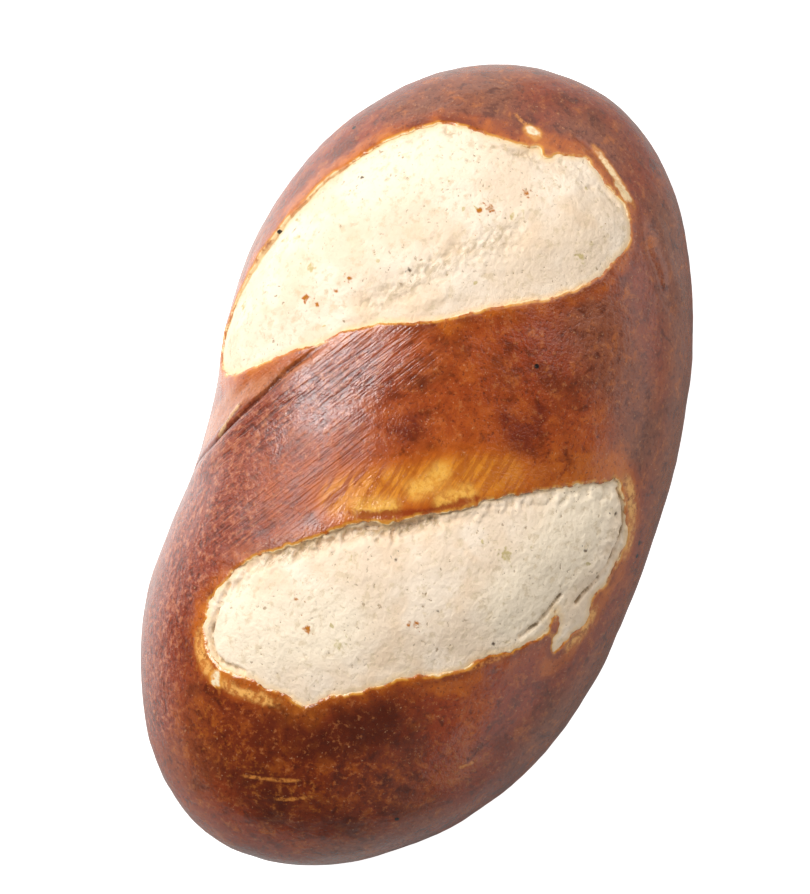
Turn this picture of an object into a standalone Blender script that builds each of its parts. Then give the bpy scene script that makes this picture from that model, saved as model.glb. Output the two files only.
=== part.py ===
"""A pretzel roll: one plump oval of lye-dipped dough, slashed twice across its back before baking.

Metres, +Z up. +X runs along the roll, and +Y is the side with the waist. The origin is on the surface that the
roll rests on, under the middle of its box. The dough is shaped in millimetres, and MM turns them into metres.
"""

import bmesh
import bpy
import numpy as np
from mathutils import Matrix, Vector, noise
from mathutils.bvhtree import BVHTree

MM = 0.001

# The loaf, in millimetres
LENGTH = 130.0
HALF_WIDTH = 37.9  # of the plain oval, before the waist is pressed in
HEIGHT = 47.4
GIRTH_HEIGHT = 19.5  # where the outline is widest, above the tray
TRAY_SINK = 1.6  # how far the round underside would reach below the tray, had it not flattened there
TIP_POWER, TIP_ROOT = 2.32, 2.05  # how blunt the ends are, seen from above
BACK_POWER, BACK_ROOT = 2.5, 2.2  # the same for the back, seen from the side
BELLY_POWER, BELLY_ROOT = 3.0, 2.6  # and for the underside
BACK_SQUARENESS, BELLY_SQUARENESS = 2.15, 2.7  # of a slice: 2 is an ellipse
BEND = (0.8, 1.36, 2.05, -3.46)  # the middle line's swing towards +Y, by powers of the place along the roll
WAIST_DEPTH, WAIST_AT, WAIST_REACH = 4.8, -8.0, 21.2  # the pinch in the +Y side
LUMP_HEIGHT, LUMP_SIZE = 0.5, 24.0  # the dough's slow unevenness

# A place on the skin is its X and its angle round a line below the crest, from 0 at the top towards +Y
CORE_HEIGHT = 5.0

# The two slashes. rim is where crust meets crumb, as (X in mm, degrees round the core). Depths are in millimetres:
# lip_rise and lip_reach are how high and how far the crust swells beside the cut, sink is the step down to the crumb,
# uphill_sink is added to it on the +X side, and crown is the height that the crumb rises to again, heal away.
UPPER_SLASH = {
    "rim": [
        (2.0, 60.0), (5.5, 46.0), (11.8, 30.7), (18.6, 16.5), (26.0, 0.0), (33.5, -17.0), (40.0, -26.0), (45.8, -27.0),
        (50.3, -17.5), (52.2, -3.0), (51.0, 13.0), (49.4, 28.0), (44.5, 37.0), (34.5, 46.0), (21.4, 52.6), (9.0, 57.5),
    ],
    "lip_rise": 0.45, "lip_reach": 3.0, "sink": 0.55, "uphill_sink": 0.15, "crown": 1.0, "heal": 7.0,
}
LOWER_SLASH = {
    "rim": [
        (-35.1, 33.9), (-29.0, 34.8), (-22.0, 29.5), (-15.0, 19.2), (-9.6, 6.0), (-3.9, -5.6), (1.7, -17.6),
        (6.0, -30.0), (9.0, -38.0), (4.5, -43.4), (-2.5, -46.0), (-9.2, -43.2), (-16.5, -34.6), (-24.5, -21.6),
        (-32.0, -7.3), (-37.2, 4.0), (-38.6, 14.5), (-38.3, 26.5),
    ],
    "lip_rise": 0.75, "lip_reach": 3.5, "sink": 0.5, "uphill_sink": 1.5, "crown": 0.5, "heal": 6.0,
}
CUT_WALL = 1.8  # how far the step from crust to crumb takes

# Grooves in the skin, each along a line of (X in mm, degrees)
SHOULDER_FOLD = {
    "line": [(-11.0, 66.0), (-7.0, 57.4), (-1.5, 45.5), (5.5, 36.5), (14.5, 26.0)],
    "depth": 0.9, "width": 1.6,
}
TORN_BAND = {
    "line": [(18.7, 23.5), (24.0, 17.0), (30.5, 11.0), (38.0, 3.5)],
    "depth": 0.7, "width": 2.6,
}
RIM_TEAR = {
    "line": [(5.0, -41.5), (-3.0, -43.7), (-11.0, -39.0), (-19.0, -28.5)],
    "depth": 0.6, "width": 1.3,
}
SIDE_SEAM = {
    "line": [(56.0, -10.0), (50.0, -25.5), (42.0, -33.0), (37.0, -42.0), (35.0, -58.0)],
    "depth": 0.45, "width": 2.0,
}

CUBE_CUTS = 119  # across each side of the cube that becomes the fine loaf
POINTS_A_SPAN = 14  # of a smooth line, between two of its named points
MOST_TRIANGLES = 11600  # the fine loaf is thinned to these, which stay where the surface bends most
TRAY_PRESS = 0.1  # what thinning leaves this near the tray is pressed onto it

CRUST_BROWN = (0.30, 0.085, 0.025)
CRUMB_CREAM = (0.80, 0.66, 0.46)


def loaf_points(ball):
    """Points of the smooth loaf for points of a ball of radius 1."""
    u = ball[:, 0].clip(-1, 1)
    ring = np.hypot(ball[:, 1], ball[:, 2]).clip(1e-9)
    across, up = ball[:, 1] / ring, ball[:, 2] / ring
    power = 2 / np.where(up > 0, BACK_SQUARENESS, BELLY_SQUARENESS)
    across = np.sign(across) * np.abs(across) ** power
    up_power = np.sign(up) * np.abs(up) ** power
    reach = HALF_WIDTH * (1 - np.abs(u) ** TIP_POWER).clip(0) ** (1 / TIP_ROOT)
    waist = WAIST_DEPTH * np.exp(-(((u * LENGTH / 2 - WAIST_AT) / WAIST_REACH) ** 2))
    back = (HEIGHT - GIRTH_HEIGHT) * (1 - np.abs(u) ** BACK_POWER).clip(0) ** (1 / BACK_ROOT)
    belly = (GIRTH_HEIGHT + TRAY_SINK) * (1 - np.abs(u) ** BELLY_POWER).clip(0) ** (1 / BELLY_ROOT)
    middle = sum(swing * u**power_of_u for power_of_u, swing in enumerate(BEND))
    y = middle + (reach - np.where(across > 0, waist * across**2, 0)) * across
    z = GIRTH_HEIGHT + np.where(up > 0, back, belly) * up_power
    return np.column_stack([u * LENGTH / 2, y, z])


def build_loaf():
    """The smooth loaf: a cube cut fine, blown into a ball and drawn out to the roll."""
    loaf = bmesh.new()
    bmesh.ops.create_cube(loaf, size=2.0)
    bmesh.ops.subdivide_edges(loaf, edges=loaf.edges[:], cuts=CUBE_CUTS, use_grid_fill=True)
    cube = np.array([vertex.co for vertex in loaf.verts])
    one, other = cube[:, [1, 2, 0]] ** 2, cube[:, [2, 0, 1]] ** 2
    ball = cube * np.sqrt(1 - (one + other) / 2 + one * other / 3)
    for vertex, point in zip(loaf.verts, loaf_points(ball)):
        vertex.co = point
    loaf.normal_update()
    return loaf


def smooth_line(points, closed=False):
    """Points along a Catmull-Rom curve through these ones."""
    points = np.array(points, float)
    if closed:
        around = np.vstack([points[-1:], points, points[:2]])
    else:
        around = np.vstack([2 * points[0] - points[1], points, 2 * points[-1] - points[-2]])
    t = np.arange(POINTS_A_SPAN)[:, None] / POINTS_A_SPAN
    spans = []
    for a, b, c, d in zip(around, around[1:], around[2:], around[3:]):
        bend = (2 * a - 5 * b + 4 * c - d) * t**2 + (3 * b - 3 * c + d - a) * t**3
        spans.append(b + ((c - a) * t + bend) / 2)
    return np.vstack(spans)


def on_skin(tree, places):
    """The point of the loaf's skin at each place."""
    core = [Vector((x, 0, CORE_HEIGHT)) for x, degrees in places]
    outward = [Matrix.Rotation(-np.radians(degrees), 3, "X") @ Vector((0, 0, 1)) for x, degrees in places]
    return np.array([tree.ray_cast(start, way)[0] for start, way in zip(core, outward)])


def places_of(points):
    """Each point's X and degrees round the core."""
    return np.column_stack([points[:, 0], np.degrees(np.arctan2(points[:, 1], points[:, 2] - CORE_HEIGHT))])


def is_within(places, rim):
    """Whether each place lies inside the closed rim."""
    inside = np.zeros(len(places), bool)
    for (x_from, from_degrees), (x_to, to_degrees) in zip(rim, np.roll(rim, -1, axis=0)):
        crosses = (from_degrees > places[:, 1]) != (to_degrees > places[:, 1])
        share = (places[:, 1] - from_degrees) / (to_degrees - from_degrees + 1e-12)
        inside ^= crosses & (places[:, 0] < x_from + share * (x_to - x_from))
    return inside


def nearest(points, line):
    """Each point's distance to the nearest point of a line, and which one that is."""
    gap = np.full(len(points), np.inf)
    which = np.zeros(len(points), int)
    for number, spot in enumerate(line):
        distance = np.linalg.norm(points - spot, axis=1)
        closer = distance < gap
        gap[closer], which[closer] = distance[closer], number
    return gap, which


def facing_uphill(rim):
    """How far each point of a rim faces +X, from 0 to 1."""
    skin = np.column_stack([rim[:, 0], np.radians(rim[:, 1]) * (HEIGHT - CORE_HEIGHT)])
    along = np.roll(skin, -1, axis=0) - np.roll(skin, 1, axis=0)
    area = (skin[:, 0] * along[:, 1] - skin[:, 1] * along[:, 0]).sum()
    return (np.sign(area) * along[:, 1] / np.linalg.norm(along, axis=1)).clip(0)


def slash_relief(slash, points, tree):
    """How far a slash moves each point outwards."""
    rim = smooth_line(slash["rim"], closed=True)
    gap, which = nearest(points, on_skin(tree, rim))
    sink = slash["sink"] + slash["uphill_sink"] * facing_uphill(rim)[which]
    healed = 1 - np.exp(-((gap / slash["heal"]) ** 1.5))
    crumb = -sink + (sink + slash["crown"]) * healed
    wall = (gap / CUT_WALL).clip(0, 1)
    wall = wall * wall * (3 - 2 * wall)
    lip = slash["lip_rise"] * np.exp(-((gap / slash["lip_reach"]) ** 2))
    inside = is_within(places_of(points), rim)
    return np.where(inside, slash["lip_rise"] * (1 - wall) + crumb * wall, lip)


def groove_relief(groove, points, tree):
    """How far a groove moves each point outwards."""
    gap, which = nearest(points, on_skin(tree, smooth_line(groove["line"])))
    return -groove["depth"] * np.exp(-((gap / groove["width"] * 2) ** 2))


def bake(loaf):
    """Moves the loaf's points for its lumps, slashes and grooves."""
    tree = BVHTree.FromBMesh(loaf)
    points = np.array([vertex.co for vertex in loaf.verts])
    relief = np.array([noise.noise(vertex.co / LUMP_SIZE) for vertex in loaf.verts]) * LUMP_HEIGHT
    top = points[:, 2] > CORE_HEIGHT
    for slash in (UPPER_SLASH, LOWER_SLASH):
        relief[top] += slash_relief(slash, points[top], tree)
    for groove in (SHOULDER_FOLD, TORN_BAND, RIM_TEAR, SIDE_SEAM):
        relief[top] += groove_relief(groove, points[top], tree)
    for vertex, height in zip(loaf.verts, relief):
        vertex.co += vertex.normal * height


def show_crumb(loaf):
    """Gives the faces inside a slash's rim the second material."""
    faces = [face for face in loaf.faces if face.calc_center_median().z > CORE_HEIGHT]
    places = places_of(np.array([face.calc_center_median() for face in faces]))
    for slash in (UPPER_SLASH, LOWER_SLASH):
        for face, inside in zip(faces, is_within(places, smooth_line(slash["rim"], closed=True))):
            if inside:
                face.material_index = 1


def cut_at_tray(loaf):
    """Leaves the part of the loaf above the tray, with one flat face under it."""
    geometry = loaf.verts[:] + loaf.edges[:] + loaf.faces[:]
    bmesh.ops.bisect_plane(loaf, geom=geometry, plane_co=(0, 0, 0), plane_no=(0, 0, 1), clear_inner=True)
    bmesh.ops.holes_fill(loaf, edges=[edge for edge in loaf.edges if edge.is_boundary], sides=0)


def thin_out(roll):
    """Thins the mesh with a Decimate modifier, and applies it."""
    modifier = roll.modifiers.new("thin_out", "DECIMATE")
    modifier.ratio = MOST_TRIANGLES / (2 * len(roll.data.polygons))
    bpy.context.view_layer.objects.active = roll
    bpy.ops.object.modifier_apply(modifier=modifier.name)


def set_down(mesh):
    """Presses the underside onto the tray, puts the origin under the middle of the box and turns it to metres."""
    points = np.array([vertex.co for vertex in mesh.vertices])
    points[points[:, 2] < TRAY_PRESS, 2] = 0
    middle = (points.min(axis=0) + points.max(axis=0)) / 2
    points[:, :2] -= middle[:2]
    for vertex, point in zip(mesh.vertices, points * MM):
        vertex.co = point


def add_material(mesh, name, colour, roughness):
    material = bpy.data.materials.new(name)
    material.use_nodes = True
    shader = material.node_tree.nodes["Principled BSDF"]
    shader.inputs["Base Color"].default_value = (*colour, 1)
    shader.inputs["Roughness"].default_value = roughness
    mesh.materials.append(material)


def main():
    for thing in list(bpy.data.objects):
        bpy.data.objects.remove(thing)
    loaf = build_loaf()
    bake(loaf)
    cut_at_tray(loaf)
    show_crumb(loaf)
    mesh = bpy.data.meshes.new("roll")
    loaf.to_mesh(mesh)
    loaf.free()
    add_material(mesh, "lye_crust", CRUST_BROWN, 0.35)
    add_material(mesh, "crumb", CRUMB_CREAM, 0.8)
    roll = bpy.data.objects.new("roll", mesh)
    bpy.context.scene.collection.objects.link(roll)
    thin_out(roll)
    set_down(mesh)
    mesh.shade_smooth()


main()
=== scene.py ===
import math

import bpy
import numpy as np
from mathutils import Matrix, Vector, kdtree, noise
from mathutils.bvhtree import BVHTree


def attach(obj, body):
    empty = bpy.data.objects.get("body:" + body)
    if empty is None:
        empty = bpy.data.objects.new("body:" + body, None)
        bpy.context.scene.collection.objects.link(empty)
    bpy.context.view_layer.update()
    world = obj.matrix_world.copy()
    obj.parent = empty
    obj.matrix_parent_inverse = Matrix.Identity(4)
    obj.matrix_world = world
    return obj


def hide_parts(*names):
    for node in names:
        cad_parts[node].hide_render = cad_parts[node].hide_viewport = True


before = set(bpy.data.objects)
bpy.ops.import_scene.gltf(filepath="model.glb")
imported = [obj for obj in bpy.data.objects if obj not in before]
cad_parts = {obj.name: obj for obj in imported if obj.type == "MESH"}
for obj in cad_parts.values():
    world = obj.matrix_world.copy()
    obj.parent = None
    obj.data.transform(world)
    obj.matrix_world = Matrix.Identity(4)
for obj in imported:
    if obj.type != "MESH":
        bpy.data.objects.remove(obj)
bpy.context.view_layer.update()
mm = 0.001  # every size below is in millimetres
mmPerDegree = 0.7  # about how far one degree round the core goes on the skin
farOutside = -40.0  # stands for the distance inside a rim where none is near

# the dough before it is slashed, as the frame has it
loafSizes = {
    "length": 130.0,
    "halfWidth": 37.9,
    "height": 47.4,
    "girthHeight": 19.5,  # where it is widest
    "traySink": 1.6,  # how much of the round belly the tray flattens away
    "tip": (2.32, 2.05),  # power and root of the outline from above
    "back": (2.5, 2.2),  # the same for the back and the belly from the side
    "belly": (3.0, 2.6),
    "squareness": (2.15, 2.7),  # of a slice, above and below the girth
    "bend": (0.8, 1.36, 2.05, -3.46),  # how the middle swings aside, by powers of the place along the roll
    "waist": (4.8, -8.0, 21.2),  # depth, place along the roll, reach
    "coreHeight": 5.0,  # degrees below are measured round the line at this height
    "topFrom": 8.0,  # slashes, folds and marks all lie above this height
    "cuts": 63,  # of the cube that it is blown from
    "voxel": 0.75,
    "smoothing": 10,
}

# where crust meets crumb, as (X, degrees round the core from the crest towards +Y)
rims = {
    "upper": [
        (50.2, 26.8), (50.7, 22.5), (50.9, 17.9), (50.8, 13.7), (51.0, 8.8), (51.6, 3.6), (51.8, 0.9),
        (50.7, -1.5), (51.9, -4.7), (52.3, -8.4), (52.7, -11.6), (51.8, -14.5), (50.4, -18.0),
        (49.2, -21.3), (47.8, -24.8), (45.6, -26.7), (43.3, -27.4), (41.1, -25.9), (39.1, -23.8),
        (36.4, -21.7), (34.0, -18.4), (31.9, -14.9), (30.1, -10.9), (28.2, -6.0), (26.2, -1.2), (24.1, 3.4),
        (21.1, 9.6), (18.9, 17.3), (17.2, 21.8), (15.0, 26.1), (12.6, 29.3), (10.6, 33.3), (8.1, 38.2),
        (5.8, 42.8), (4.3, 47.0), (3.6, 52.0), (4.4, 58.0), (8.0, 61.5), (13.3, 59.0), (17.3, 56.5),
        (20.3, 54.6), (24.1, 52.7), (27.0, 51.0), (29.9, 49.6), (32.8, 47.5), (36.7, 45.2), (40.2, 41.6),
        (43.4, 38.5), (46.1, 35.1), (48.3, 31.1),
    ],
    "lower": [
        (-26.0, 32.7), (-23.4, 30.8), (-21.4, 28.0), (-18.9, 24.7), (-17.2, 21.7), (-15.2, 18.0),
        (-13.3, 14.5), (-11.4, 11.7), (-10.1, 9.4), (-9.3, 6.9), (-8.6, 3.9), (-7.6, 1.1), (-6.1, -1.8),
        (-4.2, -6.3), (-2.5, -10.3), (-0.6, -13.1), (1.0, -16.7), (2.8, -21.5), (4.4, -24.6), (6.2, -29.6),
        (7.8, -35.2), (9.1, -38.2), (8.2, -40.2), (6.0, -43.1), (3.6, -45.1), (1.2, -47.2), (-1.3, -47.3),
        (-3.8, -46.8), (-6.4, -45.9), (-9.1, -43.5), (-11.2, -44.3), (-13.1, -44.5), (-15.1, -42.8),
        (-17.1, -41.3), (-18.9, -39.7), (-17.6, -38.2), (-15.9, -38.4), (-14.3, -38.0), (-12.8, -35.8),
        (-14.7, -36.0), (-16.4, -36.0), (-18.6, -33.5), (-20.9, -29.5), (-23.1, -25.1), (-25.2, -22.4),
        (-27.2, -18.5), (-29.0, -13.6), (-31.3, -8.0), (-33.5, -3.8), (-35.2, -0.3), (-36.6, 3.3),
        (-38.6, 5.5), (-39.3, 7.6), (-38.5, 10.8), (-38.4, 14.5), (-38.6, 17.6), (-38.1, 20.7),
        (-38.4, 24.4), (-37.6, 28.6), (-36.0, 31.9), (-33.8, 33.7), (-31.5, 34.2), (-28.8, 34.1),
    ],
}

# how far the rims wander, and the waves that do it: size, detail, share
raggedness = {"upper": 0.19, "lower": 0.32}
rimWaves = [(0.9, 2, 0.3), (1.8, 2, 1.0), (5.0, 0, 1.0)]


def colourOf(text):  # "aabbcc" as it looks on a screen, to the linear colour that shaders take
    parts = [int(text[i:i + 2], 16) / 255 for i in (0, 2, 4)]
    return (*[c / 12.92 if c <= 0.04045 else ((c + 0.055) / 1.055) ** 2.4 for c in parts], 1.0)


def readPoints(piece):
    points = np.empty(len(piece.data.vertices) * 3)
    piece.data.vertices.foreach_get("co", points)
    return points.reshape(-1, 3) / mm


def writePoints(piece, points):
    piece.data.vertices.foreach_set("co", (points * mm).ravel())
    piece.data.update()


def readNormals(piece):
    normals = np.empty(len(piece.data.vertices) * 3)
    piece.data.vertex_normals.foreach_get("vector", normals)
    return normals.reshape(-1, 3)


def store(piece, name, values):  # one number for each point, for the materials to read
    layer = piece.data.attributes.new(name, "FLOAT", "POINT")
    layer.data.foreach_set("value", np.asarray(values, np.float32))


def applyModifier(piece, kind, **settings):
    modifier = piece.modifiers.new(kind.lower(), kind)
    for name, value in settings.items():
        setattr(modifier, name, value)
    bpy.context.view_layer.objects.active = piece
    bpy.ops.object.modifier_apply(modifier=modifier.name)


def loafPoints(ball):
    sizes = loafSizes
    u = ball[:, 0].clip(-1, 1)
    ring = np.hypot(ball[:, 1], ball[:, 2]).clip(1e-9)
    across, up = ball[:, 1] / ring, ball[:, 2] / ring
    power = 2 / np.where(up > 0, *sizes["squareness"])
    across = np.sign(across) * np.abs(across) ** power
    rise = np.sign(up) * np.abs(up) ** power
    reach, back, belly = [
        size * (1 - np.abs(u) ** fullness).clip(0) ** (1 / root)
        for size, (fullness, root) in (
            (sizes["halfWidth"], sizes["tip"]),
            (sizes["height"] - sizes["girthHeight"], sizes["back"]),
            (sizes["girthHeight"] + sizes["traySink"], sizes["belly"]),
        )
    ]
    x = u * sizes["length"] / 2
    depth, place, spread = sizes["waist"]
    waist = depth * np.exp(-(((x - place) / spread) ** 2))
    middle = sum(swing * u**i for i, swing in enumerate(sizes["bend"]))
    y = middle + (reach - np.where(across > 0, waist * across**2, 0)) * across
    z = sizes["girthHeight"] + np.where(up > 0, back, belly) * rise
    return np.column_stack([x, y, z.clip(0)])


def makeLoaf():  # the plain dough: a cube blown into a ball, drawn out and remeshed evenly
    bpy.ops.object.select_all(action="DESELECT")
    bpy.ops.mesh.primitive_cube_add(size=2)
    loaf = bpy.context.object
    bpy.ops.object.mode_set(mode="EDIT")
    bpy.ops.mesh.select_all(action="SELECT")
    bpy.ops.mesh.subdivide(number_cuts=loafSizes["cuts"])
    bpy.ops.object.mode_set(mode="OBJECT")
    cube = readPoints(loaf) * mm
    one, other = cube[:, [1, 2, 0]] ** 2, cube[:, [2, 0, 1]] ** 2
    writePoints(loaf, loafPoints(cube * np.sqrt(1 - (one + other) / 2 + one * other / 3)))
    applyModifier(loaf, "REMESH", mode="VOXEL", voxel_size=loafSizes["voxel"] * mm)
    applyModifier(loaf, "SMOOTH", factor=0.5, iterations=loafSizes["smoothing"])
    bpy.ops.object.shade_smooth()
    return loaf


def smoothLine(points, closed=False, step=0.12):  # a Catmull-Rom curve through the points
    points = np.array(points, float)
    if closed:
        around = np.vstack([points[-1:], points, points[:2]])
    else:
        around = np.vstack([2 * points[0] - points[1], points, 2 * points[-1] - points[-2]])
    line = []
    for a, b, c, d in zip(around, around[1:], around[2:], around[3:]):
        count = max(2, round(math.hypot(c[0] - b[0], (c[1] - b[1]) * mmPerDegree) / step))
        t = np.arange(count)[:, None] / count
        way = (c - a) * t + (2 * a - 5 * b + 4 * c - d) * t**2 + (3 * b - 3 * c + d - a) * t**3
        line.append(b + way / 2)
    return np.vstack(line)


def onSkin(line):  # places on the plain dough's skin, and the skin's directions there
    points, normals = [], []
    for x, degrees in line:
        outward = Matrix.Rotation(-math.radians(degrees), 3, "X") @ Vector((0, 0, 1))
        point, normal = skinTree.ray_cast(Vector((x, 0, loafSizes["coreHeight"])), outward)[:2]
        points.append(point)
        normals.append(normal)
    return np.array(points), np.array(normals)


def noiseAt(points, size, detail=0, seed=0.0):
    offset = Vector((seed, seed * 1.7, -seed))
    if detail:
        return np.array([noise.fractal(Vector(p) / size + offset, 0.6, 2.0, detail) for p in points])
    return np.array([noise.noise(Vector(p) / size + offset) for p in points])


def nearest(points, line):  # distance to a line, and which of its points is nearest
    tree = kdtree.KDTree(len(line))
    for i, point in enumerate(line):
        tree.insert(point, i)
    tree.balance()
    found = [tree.find(p) for p in points]
    return np.array([f[2] for f in found]), np.array([f[1] for f in found])


# 1 on a line over the skin, fading away from it, and with a taper towards its ends too
def stroke(points, places, width, taper=0.0):
    line = onSkin(smoothLine(places, step=0.4))[0]
    gap, which = nearest(points, line)
    strength = np.exp(-((gap / width) ** 2))
    if taper and len(places) > 2:
        along = which / (len(line) - 1)
        strength *= smoothStep(np.minimum(along, 1 - along), -0.02, taper)  # a trace is left at the very ends
    return strength


class Rim:  # one slash's edge, lying on the plain dough
    def __init__(self, places, ragged):
        self.edge, normals = onSkin(smoothLine(places, closed=True))
        span = 4  # points to each side that give the edge's direction
        along = np.roll(self.edge, -span, axis=0) - np.roll(self.edge, span, axis=0)
        inward = np.cross(normals, along)
        inward /= np.linalg.norm(inward, axis=1)[:, None]
        if (inward * (self.edge.mean(axis=0) - self.edge)).sum() < 0:
            inward = -inward
        self.inward = inward
        wobble = sum(noiseAt(self.edge, size, detail) * share for size, detail, share in rimWaves) * ragged
        self.edge = self.edge + inward * wobble[:, None]
        self.uphill = (-inward[:, 0]).clip(0)

    # distance inside the rim, the way in, and how much the rim there faces down the roll
    def measure(self, points):
        gap, which = nearest(points, self.edge)
        side = np.sign(((points - self.edge[which]) * self.inward[which]).sum(axis=1))
        return gap * side, self.inward[which], self.uphill[which]


def smoothStep(value, low, high):
    t = ((value - low) / (high - low)).clip(0, 1)
    return t * t * (3 - 2 * t)


loaf = makeLoaf()
skinTree = BVHTree.FromPolygons(
    [Vector(p) for p in readPoints(loaf)], [tuple(face.vertices) for face in loaf.data.polygons]
)
upperRim, lowerRim = [Rim(rims[name], raggedness[name]) for name in ("upper", "lower")]
print("plain dough ready:", len(loaf.data.polygons), "faces")


def duplicate(source, name):
    piece = source.copy()
    piece.data = source.data.copy()
    piece.name = piece.data.name = name
    bpy.context.scene.collection.objects.link(piece)
    bpy.ops.object.select_all(action="DESELECT")
    piece.select_set(True)
    bpy.context.view_layer.objects.active = piece
    return piece


def selectFaces(piece, wanted):  # leaves the piece in edit mode with these faces selected
    bpy.context.view_layer.objects.active = piece
    bpy.ops.object.mode_set(mode="EDIT")
    bpy.ops.mesh.select_mode(type="FACE")
    bpy.ops.mesh.select_all(action="DESELECT")
    bpy.ops.object.mode_set(mode="OBJECT")
    piece.data.polygons.foreach_set("select", wanted)
    bpy.ops.object.mode_set(mode="EDIT")


def faceCentres(piece):
    centres = np.empty(len(piece.data.polygons) * 3)
    piece.data.polygons.foreach_get("center", centres)
    return centres.reshape(-1, 3) / mm


def rimGap(rim, points):  # distance inside the rim in mm, far below zero on the roll's lower half
    gap = np.full(len(points), farOutside)
    top = points[:, 2] > loafSizes["topFrom"]
    gap[top] = rim.measure(points[top])[0]
    return gap


def halve(piece, wanted):  # cuts these faces in two each way
    selectFaces(piece, wanted)
    bpy.ops.mesh.subdivide(number_cuts=1)
    bpy.ops.object.mode_set(mode="OBJECT")


# where the roll's shoulder folds over, between the slashes
crease = [
    (-15.0, 74.0), (-13.0, 66.0), (-10.5, 58.5), (-7.1, 49.7), (-4.0, 45.4), (-1.2, 42.0), (2.5, 37.8),
    (6.5, 34.5), (9.6, 31.2), (12.8, 27.2), (15.3, 23.8),
]

crustSettings = {
    "trough": 3.8,  # how deep the crust is cut away under the crumb
    "wall": 0.3,  # the width that it drops in
    "pinch": (1.6, 1.5),  # points are drawn to the rim from this far, by this power
    "lips": {  # swell, overhang, more overhang where it faces down the roll
        "upper": (0.35, 0.1, 0.15),
        "lower": (0.25, 0.1, 0.3),
    },
    "lipReach": 2.6,
    "overhang": (1.6, 0.12),  # how far back from the rim it is felt, and how far past it
    "edgeDrop": (0.15, 0.25),  # depth and width of the rounding at the rim
    "lumps": [(26.0, 0.5, 0), (9.0, 0.22, 0), (3.2, 0.07, 2)],  # size, height, detail
    "lumpsFrom": (0.5, 8.0),  # the heights between which they grow, so that the base stays flat
    "folds": [  # line, width, height
        (crease, 0.42, -0.75),
        ([(-15.0, 64.0), (-11.5, 53.0), (-6.5, 45.5), (0.0, 38.5), (6.5, 32.0), (13.0, 25.5)], 2.2, 0.5),
        ([(-7.0, 51.5), (-4.2, 47.4), (-0.8, 44.4), (2.4, 41.0)], 0.45, 0.2),
        ([(-4.5, 55.0), (-1.5, 49.5), (1.5, 45.2), (5.0, 41.0)], 0.5, -0.2),
        ([(57.0, 0.0), (55.8, -5.7), (53.8, -14.8), (51.4, -21.0), (49.9, -25.9), (47.5, -29.5)], 0.5, -0.3),
        ([(48.0, -29.6), (43.5, -32.8), (40.4, -37.1), (37.1, -40.4), (33.9, -49.6)], 0.7, -0.4),
        ([(50.0, -33.0), (45.5, -37.0), (41.0, -42.0), (37.0, -52.0)], 2.0, 0.35),
        (
            [
                (-10.2, 15.0), (-9.3, 11.0), (-8.0, 5.8), (-5.7, -1.1), (-4.0, -5.0), (-2.0, -8.9),
                (-0.3, -11.7),
            ],
            0.4, -0.15,
        ),
    ],
    "foldTaper": 0.3,
    "refine": [(2.6, 1.56, 1.2), (1.0, 0.6, 0.6)],  # how far outside and inside a rim, and round a fine mark
    "refineFrom": 0.3,  # how strong that mark has to be
    "fineMarks": {  # those narrower than the width taper off and are broken
        "width": 1.5,
        "taper": 0.25,
        "breaks": (0.8, 0.7),  # their size and swing
    },
    "bandWander": (2.4, 1.5, 5.0),  # of the pale band along a rim: size of its waves, how far they go, seed
    "glowWidens": 2.2,  # that band, where the crust glows
    "gapRange": (-20.0, 1.0),  # what the stored distance and band are kept within
    "bandRange": (-20.0, 4.0),
    "underside": (6.0, 3.0, 3.0, 9.0),  # size and swing of its limit's waves, heights of full and of none
}

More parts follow.
